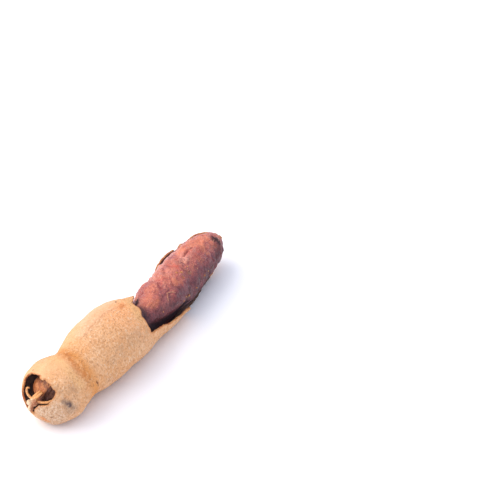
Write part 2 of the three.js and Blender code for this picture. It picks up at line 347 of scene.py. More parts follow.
def into_opening(points, angle):
    """How far each skin point is inside the big opening, in mm; below 0 on the husk."""
    x = points[:, 0]
    from_mouth = x - np.interp(angle, *zip(*MOUTH_EDGE))
    per_degree = math.radians(LOBE_RADIUS)
    from_front = (np.interp(x, *zip(*FRONT_EDGE)) - angle) * per_degree
    from_back = (angle - np.interp(x, *zip(*BACK_EDGE))) * per_degree
    return np.min([from_mouth, from_front, from_back, TIP_CUP_X - x], axis=0)


def into_hole(points):
    """How far each skin point is inside the hole at the stem end, in mm."""
    out = points - LOBE_CENTRE
    yaw = np.degrees(np.arctan2(out[:, 1], -out[:, 0])) - HOLE_MIDDLE[0]
    pitch = np.degrees(np.arcsin(out[:, 2] / np.linalg.norm(out, axis=1))) - HOLE_MIDDLE[1]
    edge = np.array(HOLE_EDGE) - HOLE_MIDDLE
    edge_turn = np.degrees(np.arctan2(edge[:, 1], edge[:, 0]))
    reach = np.interp(np.degrees(np.arctan2(pitch, yaw)), edge_turn, np.hypot(*edge.T), period=360)
    return (reach - np.hypot(yaw, pitch)) * math.radians(LOBE_RADIUS)


def into_break(along, angle):
    """How far inside either opening, with the ragged bites added."""
    points = skin_points(husk_profile, along, angle)
    depth = np.maximum(into_opening(points, angle), into_hole(points))
    return depth + bites(points, size=1.8, depth=0.45) + bites(points, size=0.9, depth=0.20)


middle_of_opening = at_x(husk_profile, np.array([30.0]))
print("mm inside the break, over the tip lobe:", into_break(middle_of_opening, np.array([0.0])).round(1))

# %% [markdown]
# ## Lofting a ball into a pod
#
# A UV sphere already has poles, rings and segments, which is just how a pod is laid out.
# So a sphere is added and its rings are spread evenly along the pod's skin: the latitude
# of a vertex gives its distance along, and its longitude gives its angle round the pod.
# Moving vertices in code is the same as dragging rings in edit mode, only exact.

# %% A ball lofted along a profile


def loft_ball(name, profile, cell):
    """A UV sphere with cells of about this size in mm; returns it with along and angle."""
    along_total = profile[0][-1]
    widest = profile[1][:, 4].max()
    rings = int(along_total / cell)
    segments = 4 * int(2 * math.pi * widest / cell / 4)
    bpy.ops.object.select_all(action="DESELECT")
    bpy.ops.mesh.primitive_uv_sphere_add(segments=segments, ring_count=rings, radius=1)
    piece = bpy.context.object
    piece.name = name
    ball = np.empty(len(piece.data.vertices) * 3)
    piece.data.vertices.foreach_get("co", ball)
    ball = ball.reshape(-1, 3)
    along = (1 - np.arccos(np.clip(ball[:, 2], -1, 1)) / math.pi) * along_total
    angle = np.degrees(np.arctan2(ball[:, 1], ball[:, 0]))
    print(name, "rings", rings, "segments", segments)
    return piece, along, angle


def place_vertices(piece, points):
    """Puts a piece's vertices at points in mm of the rows, in the frame's metres."""
    moved = (points + np.array(SHIFT)) * MM
    piece.data.vertices.foreach_set("co", moved.ravel())
    piece.data.update()


LOWEST_RELIEF = 0.02  # mm above the table, except on the flats that the pod rests on


def raise_relief(piece, points, relief):
    """Moves the vertices out along their normals by relief in mm, never below the table."""
    place_vertices(piece, points)
    normals = np.array([normal.vector[:] for normal in piece.data.vertex_normals])
    raised = points + normals * relief[:, None]
    raised[:, 2] = np.maximum(raised[:, 2], np.minimum(points[:, 2], LOWEST_RELIEF))
    raised[points[:, 2] <= 0, 2] = 0
    place_vertices(piece, raised)


print("relief stays", LOWEST_RELIEF, "mm off the table")

# %% [markdown]
# ## The husk
#
# Dry tamarind husk is about a millimetre thick, with a scurfy skin, shallow dents over the
# pulp, fine folds round the neck and a faint seam along the top. No lobe is a true oval
# either: each swells here and sinks there. All of that is real relief in the mesh. The skin
# is lofted, the vertices nearest to the break are moved onto its line, the faces inside it
# are deleted, and the Solidify modifier gives the wall its thickness with a broken rim.

# %% Relief of the husk
HUSK_CELL = 0.41  # mm
NECK_X = -40.0
NECK_REACH = 3.0  # mm over which the neck's folds fade
SEAM = [(-58, -2), (-36, -14), (-28, -6), (-19, -1), (-10.8, 6), (-4, 12)]  # x, angle
SEAM_WIDTH = 0.55  # mm
SEAM_GROOVE = 1.6  # mm, the shallow groove that it lies in
SEAM_END_X = -3.0
SWELLS = [  # x, angle, rise in mm, reach in mm
    (-44.5, -42, 0.45, 3.0), (-50.5, -62, 0.30, 3.0),  # the far shoulder of the stem lobe
    (-53.0, 155, 0.50, 2.5), (-46.0, 126, 0.40, 3.0),  # its lower near side
    (-39.5, -40, -0.35, 2.0), (-34.5, -60, 0.35, 3.0),  # the neck
    (-29.0, -62, 0.95, 4.5), (-19.5, -50, -0.60, 4.0),  # the middle lobe's far side
    (-31.0, 133, 0.78, 6.0), (-18.0, 126, -0.45, 4.0),  # and its near side
    (9.0, 116, -0.5, 5.0), (16.0, 118, -0.6, 5.0),  # the thin flap has curled in as it dried
]


def husk_relief(points, angle):
    """Height of the husk's dents, folds, seam and grain at each point, in mm."""
    heights = []
    for point, turn in zip(points, angle):
        at = Vector(point)
        dents = 0.30 * noise.noise(at / 9.0) + 0.12 * noise.noise(at / 3.4 + Vector((7, 0, 0)))
        grain = 0.035 * noise.noise(at / 1.3) + 0.030 * noise.noise(at / 0.8 + Vector((0, 9, 0)))
        near_neck = math.exp(-(((at.x - NECK_X) / NECK_REACH) ** 2))
        folds = 0.20 * near_neck * noise.noise(Vector((at.x / 0.8, at.y / 2.2, at.z / 2.2)))
        off_seam = (turn - np.interp(at.x, *zip(*SEAM))) * math.radians(LOBE_RADIUS)
        seam = 0.16 * math.exp(-((off_seam / SEAM_WIDTH) ** 2))
        seam -= 0.06 * math.exp(-((off_seam / SEAM_GROOVE) ** 2))
        heights.append(dents + grain + folds + (seam if at.x < SEAM_END_X else 0))
    relief = np.array(heights)
    for x, turn, rise, reach in SWELLS:
        middle = skin_points(husk_profile, at_x(husk_profile, x), turn)
        relief += rise * np.exp(-((points - middle) ** 2).sum(axis=1) / reach**2)
    return relief


husk, husk_along, husk_angle = loft_ball("pod_husk", husk_profile, HUSK_CELL)

# %% Break the husk
SNAP_SHARE = 0.6  # of a cell, the furthest that a vertex moves to reach the break line


def faces_in_break(mesh, depth):
    """Which faces lie in the break, with lone teeth and lone notches smoothed away."""
    corners = [list(face.vertices) for face in mesh.polygons]
    broken = [bool(sum(depth[v] for v in vertices) > 0) for vertices in corners]
    beside = {}
    for index, face in enumerate(mesh.polygons):
        for key in face.edge_keys:
            beside.setdefault(key, []).append(index)
    neighbours = [[] for _ in corners]
    for pair in beside.values():
        if len(pair) == 2:
            neighbours[pair[0]].append(pair[1])
            neighbours[pair[1]].append(pair[0])
    for _ in range(3):
        alike = [sum(broken[n] == broken[i] for n in near) for i, near in enumerate(neighbours)]
        lone = [i for i, count in enumerate(alike) if count <= 1]
        for index in lone:
            broken[index] = not broken[index]
    rim = {v for pair in beside.values() if len(pair) == 2 and broken[pair[0]] != broken[pair[1]]
           for v in set(corners[pair[0]]) & set(corners[pair[1]])}
    return broken, sorted(rim)


def snapped(along, angle):
    """Moves vertices onto the break line, by less than a cell; returns along, angle."""
    step = 0.05  # mm, to feel the slope over
    radius = np.maximum(skin_sections(husk_profile, along)[:, 4], 0.5)  # never nought at a pole
    degrees = np.degrees(step / radius)
    depth = into_break(along, angle)
    slope_along = (into_break(along + step, angle) - depth) / step
    slope_round = (into_break(along, angle + degrees) - depth) / step
    steepness = np.maximum(np.hypot(slope_along, slope_round), 0.4)
    furthest = SNAP_SHARE * HUSK_CELL
    move = np.clip(-depth / steepness, -furthest, furthest) / steepness
    return along + move * slope_along, angle + np.degrees(move * slope_round / radius)


husk_broken, rim = faces_in_break(husk.data, into_break(husk_along, husk_angle))
husk_along[rim], husk_angle[rim] = snapped(husk_along[rim], husk_angle[rim])
husk_points = skin_points(husk_profile, husk_along, husk_angle)
raise_relief(husk, husk_points, husk_relief(husk_points, husk_angle))
print("husk faces in the break:", sum(husk_broken), "rim vertices:", len(rim))

# %% [markdown]
# ## Marks on a skin
#
# Stains, scars and folds sit at known places on the pod, so they are painted as with a
# soft brush. A stroke is a short list of places, each an x and an angle, with a brush
# radius in millimetres. What it leaves on each vertex is a number from 0 to 1, kept in the
# mesh as an attribute that the material, or the relief, can read.

# %% A soft brush
BRUSH_DOTS = 12  # from one place of a stroke to the next


def brushed(points, profile, strokes):
    """Strongest brush mark at each point. A stroke is (radius, strength, places)."""
    painted = np.zeros(len(points))
    for radius, strength, places in strokes:
        xs, turns = np.array(places, float).T
        steps = np.linspace(0, len(places) - 1, BRUSH_DOTS * (len(places) - 1) + 1)
        dots = skin_points(
            profile,
            at_x(profile, np.interp(steps, range(len(places)), xs)),
            np.interp(steps, range(len(places)), turns),
        )
        nearest = np.full(len(points), np.inf)
        for dot in dots:
            nearest = np.minimum(nearest, ((points - dot) ** 2).sum(axis=1))
        painted = np.maximum(painted, strength * np.exp(-nearest / radius**2))
    return painted


def keep_attribute(piece, name, values):
    """Stores one number a vertex under a name."""
    layer = piece.data.attributes.new(name, "FLOAT", "POINT")
    layer.data.foreach_set("value", np.asarray(values, dtype=np.float32))


print("a stroke is laid with", BRUSH_DOTS, "dots a step")

# %% Where the husk is marked
HUSK_MARKS = {
    # folds of the neck, where the skin is rubbed to a warm brown
    "neck_tan": [
        (3.4, 0.80, [(-37.0, -80), (-37.8, -40), (-39.0, -5), (-39.8, 30), (-40.0, 55),
                     (-39.4, 80), (-38.5, 130)]),
        (3.0, 0.35, [(-34.1, -31), (-33.3, -10), (-36.0, 25)]),
        (2.0, 0.45, [(-3.5, 10), (-6.0, 26), (-7.5, 45)]),
    ],
    "neck_brown": [
        (2.3, 0.80, [(-39.4, -12), (-40.4, 3), (-41.2, 19), (-41.4, 33), (-41.6, 48), (-41.0, 61)]),
        (1.8, 0.45, [(-38.0, -36), (-39.4, -12)]),
    ],
    "neck_yellow": [
        (2.2, 0.60, [(-43.5, -20), (-43.9, 7), (-45.2, 27), (-45.6, 43), (-45.2, 62)]),
        (2.4, 0.70, [(-4.5, -14), (-7.0, 4), (-9.0, 22), (-10.5, 42)]),
    ],
    # painted glare: on the lit tops of the stem lobe and the middle lobe the grain's colours and bump are
    # turned down, as bright light washes them out
    "worn": [
        (6.0, 0.75, [(-52.0, -40), (-49.0, -10), (-46.0, 5)]),
        (5.5, 0.60, [(-31.0, -45), (-22.0, -40), (-12.0, -35)]),
    ],
    # grey-beige scurf under the stem lobe, with brown flecks in it
    "scurf": [
        (4.0, 1.00, [(-57.0, 100), (-55.8, 90), (-55.2, 105), (-55.0, 130), (-54.6, 160)]),
        (3.2, 0.55, [(-54.5, 66), (-52.5, 84), (-50.5, 100)]),
    ],
    # painted shade: greyer brown on the lower near side of the stem lobe and the middle lobe
    "dusk": [
        (3.4, 0.70, [(-51.8, 78), (-50.4, 92)]),
        (2.4, 0.80, [(-53.2, 40), (-52.4, 44), (-50.4, 49), (-48.8, 64)]),
        (4.0, 0.55, [(-28.0, 62), (-20.0, 60), (-12.0, 66)]),
    ],
    # a sooty patch of mildew
    "soot": [
        (1.1, 0.70, [(-52.9, 68), (-52.4, 73)]),
        (1.2, 0.95, [(-52.0, 77), (-51.7, 82)]),
        (1.2, 0.50, [(-51.2, 87), (-50.6, 93)]),
        (1.9, 0.40, [(-52.4, 80), (-51.6, 97)]),
    ],
    # pits and pricks
    "dark_spots": [
        (0.36, 1.0, [(-37.8, 84), (-37.4, 90)]),
        (0.30, 0.8, [(-37.3, 94), (-37.2, 97)]),
        (0.40, 0.8, [(-10.0, -12), (-10.6, -9)]),
        (0.50, 0.7, [(-50.5, -30)]),
        (0.30, 0.9, [(-18.5, 54)]),
        (0.35, 0.7, [(-55.9, 112), (-56.2, 118)]),
        (0.35, 0.7, [(-56.6, 138)]),
        (0.35, 0.6, [(-40.4, 66), (-40.1, 68)]),
        (0.30, 0.7, [(-29.5, 72)]),
        (0.30, 0.7, [(-44.6, 104)]),
        (0.45, 0.8, [(-26.0, -112), (-25.2, -115)]),
        (0.35, 0.8, [(-14.0, -88)]),
        (0.40, 0.8, [(8.0, 128), (8.6, 131)]),
        (0.35, 0.8, [(31.0, -128)]),
    ],
    # painted highlight: paler along the lit top of the middle lobe
    "pale": [
        (3.4, 0.90, [(-24.0, -28), (-17.0, -25), (-11.5, -20)]),
        (3.4, 0.60, [(-28.0, -14), (-22.0, -8), (-16.0, -6)]),
    ],
    # warmer towards the break
    "peach": [
        (7.5, 0.95, [(-15.0, 4), (-9.0, 10), (-5.0, 26), (-4.0, 48)]),
        (5.0, 0.60, [(-19.0, 16), (-17.0, 32), (-13.0, 50)]),
    ],
    # where a fleck of scurf has come off
    "scar": [
        (0.95, 0.95, [(-12.0, 7), (-10.9, 5)]),
        (0.50, 0.60, [(-13.4, 9), (-12.8, 10)]),
        (0.80, 0.90, [(-56.9, 150), (-56.2, 157), (-55.8, 150)]),
    ],
    "seam": [
        (0.60, 0.80, [(-29.0, -7), (-24.0, -3), (-19.0, -1), (-13.2, 3)]),
    ],
    # painted shade: the stretch of the front rim past the flap, darkened where it lies in shade
    "stained_rim": [
        (1.6, 1.00, [(21.2, 134), (22.0, 146), (26.0, 152), (31.0, 149), (36.0, 155)]),
        (1.8, 0.70, [(37.0, 156), (44.0, 156)]),
    ],
}
print("husk marks:", sum(len(strokes) for strokes in HUSK_MARKS.values()), "strokes")

# %% Paint the husk and give it its wall
EDGE_SHARE = 0.7  # of the wall's thickness is left at the broken edge
THINNED = 2.0  # mm over which the wall thins towards the edge
EDGE_TINT = 0.7  # mm of the skin beside the break that has flaked to orange

for mark_name, strokes in HUSK_MARKS.items():
    keep_attribute(husk, mark_name, brushed(husk_points, husk_profile, strokes))
from_break = into_break(husk_along, husk_angle)
keep_attribute(husk, "near_break", np.exp(-((from_break / EDGE_TINT) ** 2)))

thickness = husk.vertex_groups.new(name="thickness")
weights = np.round(np.clip(-from_break / THINNED, 0, 1) * (1 - EDGE_SHARE) + EDGE_SHARE, 1)
for weight in np.unique(weights):
    thickness.add(np.flatnonzero(weights == weight).tolist(), float(weight), "REPLACE")

bpy.ops.object.mode_set(mode="EDIT")
bpy.ops.mesh.select_all(action="DESELECT")
bpy.ops.mesh.select_mode(type="FACE")
bpy.ops.object.mode_set(mode="OBJECT")
for face, broken in zip(husk.data.polygons, husk_broken):
    face.select = broken
bpy.ops.object.mode_set(mode="EDIT")
bpy.ops.mesh.delete(type="FACE")
bpy.ops.mesh.select_mode(type="VERT")
bpy.ops.mesh.select_all(action="DESELECT")
bpy.ops.object.mode_set(mode="OBJECT")
under_middle_lobe = min(husk.data.vertices, key=lambda v: (v.co - Vector((-20, 0, 0)) * MM).length)
under_middle_lobe.select = True
bpy.ops.object.mode_set(mode="EDIT")
bpy.ops.mesh.select_linked()
bpy.ops.mesh.select_all(action="INVERT")
bpy.ops.mesh.delete(type="VERT")  # chips that hang on nothing
bpy.ops.object.mode_set(mode="OBJECT")

wall = husk.modifiers.new("husk_wall", "SOLIDIFY")
wall.thickness = HUSK_WALL * MM
wall.vertex_group = "thickness"
wall.offset = -1
wall.use_even_offset = False
wall.material_offset = 1
wall.material_offset_rim = 2
bpy.ops.object.shade_smooth()
print("the wall waits for the husk's three materials:", wall.name)

# %% [markdown]
# ## The pulp
#
# The pulp is a sticky paste round a row of seeds, wrapped in a thin skin. It swells over
# each seed and wrinkles between them, and the shadow that the husk casts on it is painted
# dark. It is lofted as the husk was. Under the husk it keeps to its own rows, and it sinks
# away from the broken front edge, which leaves the dark gap there.

# %% Folds of the pulp
PULP_FOLDS = {
    "creases": [
        (0.42, 0.75, [(36.0, 11), (33.6, 8), (31.8, 7), (30.2, 6)]),
        (0.50, 0.40, [(39.0, 34), (35.6, 36), (32.7, 31)]),
        (0.60, 0.50, [(21.6, -30), (21.4, -8), (22.6, 12), (24.2, 30), (25.4, 42)]),
        (0.50, 0.40, [(23.8, -10), (22.4, -2), (20.9, 2)]),
        (0.50, 0.40, [(18.9, -17), (17.4, -8), (16.2, -1)]),
        (0.50, 0.40, [(13.0, 8), (14.4, 22), (13.4, 40), (14.4, 60)]),
        (0.50, 0.45, [(9.9, 4), (8.8, 12), (8.7, 17)]),
        (0.45, 0.35, [(4.6, -30), (5.4, 4), (6.4, 20), (5.4, 38)]),
        (0.50, 0.35, [(40.6, 40), (42.4, 24), (44.6, 30)]),
        (0.50, 0.40, [(33.6, 40), (34.4, 58), (32.6, 74)]),
        (0.50, 0.35, [(0.4, 10), (1.4, 30), (0.6, 50)]),
        (0.60, 0.50, [(47.6, 24), (48.4, 36), (47.0, 46)]),
    ],
    "swellings": [  # over the seeds
        (4.0, 0.50, [(5.0, 2)]),
        (4.5, 0.50, [(17.5, -12), (18.0, 20), (16.5, 50)]),
        (5.0, 0.40, [(34.0, 12), (36.0, 45)]),
        (3.5, 0.40, [(44.0, 14)]),
    ],
    "valleys": [
        (1.9, 0.75, [(13.0, -50), (11.5, -15), (9.2, 20), (8.0, 40)]),
        (2.1, 0.75, [(36.0, -52), (31.0, -15), (26.2, 12), (24.6, 38), (24.0, 62)]),
    ],
    "waists": [  # between one seed and the next, along the far side
        (2.3, 1.00, [(12.6, -64), (13.0, -50), (13.4, -40)]),
        (3.0, 0.80, [(30.0, -60), (34.0, -55), (38.0, -49)]),
        (3.0, 0.60, [(41.0, -46), (45.0, -40), (49.0, -30), (51.6, -22)]),
    ],
    "ridges": [
        (0.80, 0.40, [(34.6, 16), (31.7, 13.5), (29.6, 14)]),
        (0.70, 0.35, [(31.0, 1), (29.0, 1), (27.2, 5)]),
        (0.60, 0.35, [(29.4, 17), (27.9, 20)]),
        (0.70, 0.25, [(26.0, 6), (25.0, 17), (26.4, 28)]),
        (0.60, 0.30, [(17.0, 10), (18.0, 30), (17.0, 52)]),
        (0.60, 0.30, [(10.6, -2), (11.2, 12), (11.0, 24)]),
        (0.45, 0.40, [(8.9, 38), (8.5, 43), (7.2, 49), (6.6, 56)]),
        (0.40, 0.30, [(9.6, 50), (9.3, 56), (8.3, 61), (8.2, 66)]),
        (0.50, 0.40, [(49.8, 16), (50.6, 34), (49.4, 50)]),
    ],
}
print("pulp folds:", sum(len(strokes) for strokes in PULP_FOLDS.values()), "strokes")

# %% Relief of the pulp
PULP_CELL = 0.31  # mm
RIDGE_AT = (0.4, 11.2)  # y and z of the ridge under the middle string
RIDGE_SIDE = (4.8, 2.7)  # across the ridge, towards its shaded side
SUNK_END_X = -47.0
TIP_FADE = 3.0  # mm before the tip pole over which the relief dies out


def sunk_end(points, soft):
    """1 on the shaded side of the pulp's stem end, past the ridge under the middle string."""
    (y, z), (out, down) = RIDGE_AT, RIDGE_SIDE
    across = ((y - points[:, 1]) * out + (z - points[:, 2]) * down) / math.hypot(out, down)
    ragged = 0.35 * np.array([noise.noise(Vector(point) / 0.9) for point in points])
    return np.clip((across + ragged) / soft, 0, 1) * np.clip((SUNK_END_X - points[:, 0]) / 2.0, 0, 1)


def pulp_relief(points, angle):
    """Height of the pulp's swellings, wrinkles and folds at each point, in mm."""
    bare = np.clip(into_opening(points, angle) / 2.5, 0, 1)
    heights = []
    for point, shown in zip(points, bare):
        at = Vector(point)
        swell = 0.40 * noise.noise(at / 5.0) + 0.34 * noise.noise(at / 2.7)
        drawn = at + 1.3 * noise.noise_vector(at / 3.2)
        drawn.z *= 0.65
        wrinkle = 0.20 * (1 - 4 * abs(noise.noise(drawn / 2.6))) + 0.13 * noise.noise(drawn / 1.2)
        pucker = -0.22 * math.exp(-((noise.noise(drawn / 3.7 + Vector((5, 0, 0))) / 0.06) ** 2))
        fine = 0.06 * noise.noise(at / 0.75) - 0.07 * math.exp(-((noise.noise(drawn / 1.7) / 0.10) ** 2))
        near_pole = min(1, (PULP_ROWS[-1][0] - at.x) / TIP_FADE)
        relief = swell + wrinkle + pucker + fine - 0.2
        heights.append(relief * (0.3 + 0.7 * shown) * near_pole - 0.12 * (1 - shown))
    folds = sum(
        sign * brushed(points, pulp_profile, PULP_FOLDS[name])
        for name, sign in (
            ("swellings", 1), ("ridges", 1), ("creases", -1), ("valleys", -1), ("waists", -1),
        )
    )
    gap = brushed(points, pulp_profile, [
        (3.0, 1.3, [(-7, 64), (-4, 82), (1, 97), (6, 106), (12, 112), (18, 118)]),
        (1.5, 0.9, [(2.4, -40), (-0.6, -16), (-3.6, -2)]),
    ])
    end_bulge = brushed(points, pulp_profile, [(3.2, 0.9, [(-51.0, -72), (-50.0, -92)])])
    return np.array(heights) + folds * bare - gap + end_bulge - 1.1 * sunk_end(points, 1.6)


pulp, pulp_along, pulp_angle = loft_ball("pod_pulp", pulp_profile, PULP_CELL)
pulp_points = skin_points(pulp_profile, pulp_along, pulp_angle)
raise_relief(pulp, pulp_points, pulp_relief(pulp_points, pulp_angle))

# %% Where the pulp is marked
PULP_MARKS = {
    "orange": [  # painted highlight, rosy orange on the lit tops of the swellings, with the real orange-tan of two veins near x 8
        (3.8, 0.95, [(46.0, 14), (42.0, 8), (37.0, 2), (33.0, -6)]),
        (1.7, 1.00, [(44.3, 4), (45.4, 12), (45.4, 18)]),
        (1.5, 0.90, [(24.4, 7), (22.2, 9), (20.2, 8)]),
        (0.50, 0.55, [(8.9, 38), (8.5, 43), (7.2, 49)]),
        (0.45, 0.40, [(9.6, 50), (9.3, 56), (8.3, 61)]),
        (3.2, 0.55, [(25.6, -14), (23.4, -4), (20.0, 4)]),
        (3.8, 0.40, [(17.6, -9), (14.4, 0), (14.0, 16)]),
        (3.2, 0.60, [(7.4, -6), (5.6, 4), (2.6, 8), (-1.0, 12)]),
    ],
    "rose": [  # painted highlight: pale pink along the lit far rim and on the crests
        (1.5, 0.90, [(34.6, 17), (31.7, 13.5), (29.0, 13)]),
        (1.3, 0.50, [(31.0, 1), (28.6, 2), (27.2, 6)]),
        (0.8, 0.50, [(29.4, 17), (27.9, 20)]),
        (2.6, 0.35, [(24.7, 0), (20.6, -3), (16.3, 0)]),
        (1.8, 0.30, [(3.8, 55), (6.8, 55)]),
        (3.0, 0.85, [(50.0, -30), (42.0, -42), (33.0, -46), (24.0, -50), (17.0, -46)]),
        (1.4, 0.50, [(14.0, -34), (11.4, -28)]),
    ],
    "red": [  # moist
        (1.3, 0.90, [(11.6, 2), (10.6, 8)]),
        (2.0, 0.80, [(21.9, -3), (23.2, 10), (21.9, 18)]),
        (1.2, 0.70, [(33.6, 14), (31.0, 13)]),
        (1.8, 0.60, [(37.0, 26), (34.0, 30)]),
    ],
    "maroon": [  # moist and in the shade
        (2.6, 0.75, [(-1.5, -16), (2.0, -30), (5.6, -34), (8.8, -30)]),
        (0.9, 0.80, [(9.9, 4), (8.8, 12), (8.7, 17)]),
        (1.6, 0.35, [(40.0, 34), (38.6, 44), (35.0, 30)]),
        (3.0, 0.80, [(-2.0, -84), (8.0, -92), (20.0, -86), (30.0, -92), (44.0, -84), (52.0, -70)]),
    ],
    "purple": [  # painted shade: purple-brown in the valleys between seeds and on the lower near side
        (2.4, 0.60, [(10.6, 8), (9.2, 18)]),
        (2.4, 0.85, [(8.8, 26), (8.0, 36), (7.4, 42)]),
        (1.2, 0.80, [(12.2, 42), (13.6, 47)]),
        (2.2, 0.60, [(40.5, 46), (43.5, 42), (45.5, 50)]),
        (3.2, 0.85, [(27.5, 14), (25.6, 22), (24.7, 38), (24.4, 52)]),
        (3.6, 0.75, [(37.0, 48), (31.0, 53)]),
        (2.6, 0.50, [(21.0, 14), (20.6, 26)]),
        (3.0, 0.50, [(-2.5, 36), (-4.5, 50), (-3.0, 60)]),
        (2.4, 0.70, [(24.7, 67), (19.6, 64), (14.0, 70)]),
    ],
    "film": [  # painted sheen: a grey-mauve reflection along the far rim, round the tip and on one spot
        (0.6, 0.50, [(23.2, 20), (22.8, 21)]),
        (1.0, 0.60, [(46.5, -20), (49.3, -11), (51.0, 8)]),
        (1.6, 0.50, [(10.0, -62), (18.0, -60), (24.0, -62), (32.0, -60)]),
    ],
    "olive": [  # thin brown spots where the pulp has dried on the husk
        (0.9, 0.75, [(25.8, 43), (25.2, 46)]),
        (0.8, 0.85, [(32.2, 82), (31.6, 86)]),
        (0.8, 0.85, [(19.6, 90), (18.4, 92)]),
        (0.8, 0.60, [(14.6, 92), (12.6, 94)]),
        (0.7, 0.60, [(40.4, 86), (38.8, 90)]),
    ],
    "dried": [  # painted shadow: nearly black where the husk shades the pulp, at the tip and beside the mouth and the front edge
        (2.1, 0.95, [(49.6, 32), (50.8, 40), (50.2, 48)]),
        (3.2, 0.55, [(51.0, 52), (47.6, 64), (44.6, 77)]),
        (2.4, 0.95, [(-7.0, 54), (-6.0, 76), (-1.0, 98), (5.0, 110), (12.0, 116), (19.0, 122)]),
        (3.0, 0.80, [(-5.0, 46), (-4.6, 26), (-5.4, 8)]),
        (0.9, 0.90, [(2.2, -36), (-0.6, -14), (-3.4, 0), (-4.6, 6)]),
        (1.4, 0.50, [(18.0, 118), (22.0, 114), (27.0, 118), (33.0, 114), (38.0, 121)]),
    ],
    "bruised": [  # painted shade: brown under the edge of the hole
        (1.1, 0.90, [(-49.6, -44), (-50.9, -24), (-51.4, -5), (-51.8, 10)]),
    ],
    "stringy": [  # the tan, fibrous end round the stalk
        (3.4, 1.0, [(-53.2, -28), (-52.4, -70), (-51.4, -20), (-51.5, 20)]),
        (1.6, 1.0, [(-53.9, -10), (-53.0, -4)]),
    ],
}
print("pulp marks:", sum(len(strokes) for strokes in PULP_MARKS.values()), "strokes")

# %% Paint the pulp
for mark_name, strokes in PULP_MARKS.items():
    keep_attribute(pulp, mark_name, brushed(pulp_points, pulp_profile, strokes))
keep_attribute(pulp, "creased", brushed(pulp_points, pulp_profile, PULP_FOLDS["creases"]) / 0.8)
keep_attribute(pulp, "sunk", sunk_end(pulp_points, 0.6))
bpy.ops.object.shade_smooth()
print("pulp triangles:", sum(len(f.vertices) - 2 for f in pulp.data.polygons))

# %% [markdown]
# ## The stalk
#
# The pod hangs on a woody stalk, which snaps off as a short stub. Inside the husk it
# splits into the tough strings that run down the pulp. Three of them show in the hole, and
# the middle one is a flat strip, made here of two tubes side by side. Each tube follows a
# path, with its own thickness at every point. The tubes and the lumps of the broken end
# are joined and remeshed into one solid, which is then roughened along its fibres.

# %% Paths of the stub and its strings
STUB = [  # x, y, z, radius in mm
    (-55.1, 0.7, 12.6, 1.0), (-56.3, 0.4, 12.4, 1.4), (-57.2, 0.2, 12.2, 1.2),
    (-57.9, 0.3, 11.6, 0.9), (-58.5, 0.4, 11.0, 0.8),
]
LUMPS = [  # the broken end of the stub: x, y, z, radius in mm
    (-57.9, 1.0, 12.8, 0.95), (-58.2, 0.5, 10.6, 1.00), (-57.2, -0.6, 12.6, 1.05),
]
STRINGS = [
    [(-56.2, 1.0, 12.4, 0.50), (-55.9, 1.9, 12.8, 0.45), (-55.5, 3.6, 13.3, 0.40),
     (-55.0, 4.3, 14.2, 0.38), (-54.7, 4.4, 14.9, 0.36), (-54.6, 3.9, 15.4, 0.32),
     (-54.1, 3.9, 14.9, 0.26), (-52.6, 5.6, 13.2, 0.20), (-50.6, 7.6, 10.8, 0.16)],
    [(-56.2, 0.4, 12.6, 0.60), (-55.9, -0.5, 13.9, 0.52), (-55.4, -1.2, 14.8, 0.42),
     (-54.4, -1.7, 15.4, 0.32), (-53.4, -1.0, 14.4, 0.24), (-52.6, -0.4, 13.6, 0.18)],
    [(-56.0, 0.9, 12.8, 0.60), (-55.6, 0.7, 13.4, 0.72), (-54.9, 0.2, 14.1, 0.70),
     (-53.7, -0.2, 14.5, 0.60), (-52.6, -0.2, 13.8, 0.40)],
    [(-56.4, 0.0, 12.4, 0.55), (-56.2, -1.2, 12.6, 0.52), (-55.9, -3.0, 12.9, 0.48),
     (-55.3, -4.6, 13.3, 0.44), (-54.4, -5.6, 13.7, 0.40), (-53.2, -6.6, 14.2, 0.32),
     (-52.0, -7.5, 14.6, 0.22)],
]
print("paths:", 1 + len(STRINGS), "lumps:", len(LUMPS))

# %% Tubes along paths


def smooth_path(rows, steps=8):
    """Catmull-Rom points through rows of x, y, z, radius."""
    padded = [rows[0], *rows, rows[-1]]
    path = []
    for a, b, c, d in zip(*(np.array(padded[k : k + len(rows) - 1]) for k in range(4))):
        for f in np.arange(steps) / steps:
            path.append(0.5 * (2 * b + (c - a) * f + (2 * a - 5 * b + 4 * c - d) * f**2
                               + (3 * b - a - 3 * c + d) * f**3))
    return path + [np.array(rows[-1])]


def tube(name, rows, sides=3):
    """A closed tube with round ends along rows of x, y, z, radius."""
    path = smooth_path(rows)
    bpy.ops.object.select_all(action="DESELECT")
    bpy.ops.curve.primitive_nurbs_path_add()
    piece = bpy.context.object
    piece.name = name
    piece.data.splines.clear()
    spline = piece.data.splines.new("POLY")
    spline.points.add(len(path) - 1)
    for point, (x, y, z, radius) in zip(spline.points, path):
        point.co = (*((Vector((x, y, z)) + SHIFT) * MM), 1)
        point.radius = radius
    piece.data.bevel_depth = MM
    piece.data.bevel_resolution = sides
    piece.data.use_fill_caps = True
    bpy.ops.object.convert(target="MESH")
    bpy.ops.object.mode_set(mode="EDIT")
    bpy.ops.mesh.select_all(action="SELECT")
    bpy.ops.mesh.remove_doubles(threshold=0.001 * MM)  # sews the caps to the tube
    bpy.ops.object.mode_set(mode="OBJECT")
    return bpy.context.object


def join(name, parts):
    """Joins pieces into the first one."""
    bpy.ops.object.select_all(action="DESELECT")
    for part in parts:
        part.select_set(True)
    bpy.context.view_layer.objects.active = parts[0]
    bpy.ops.object.join()
    parts[0].name = parts[0].data.name = name
    return parts[0]


print("points on the stub's smooth path:", len(smooth_path(STUB)))

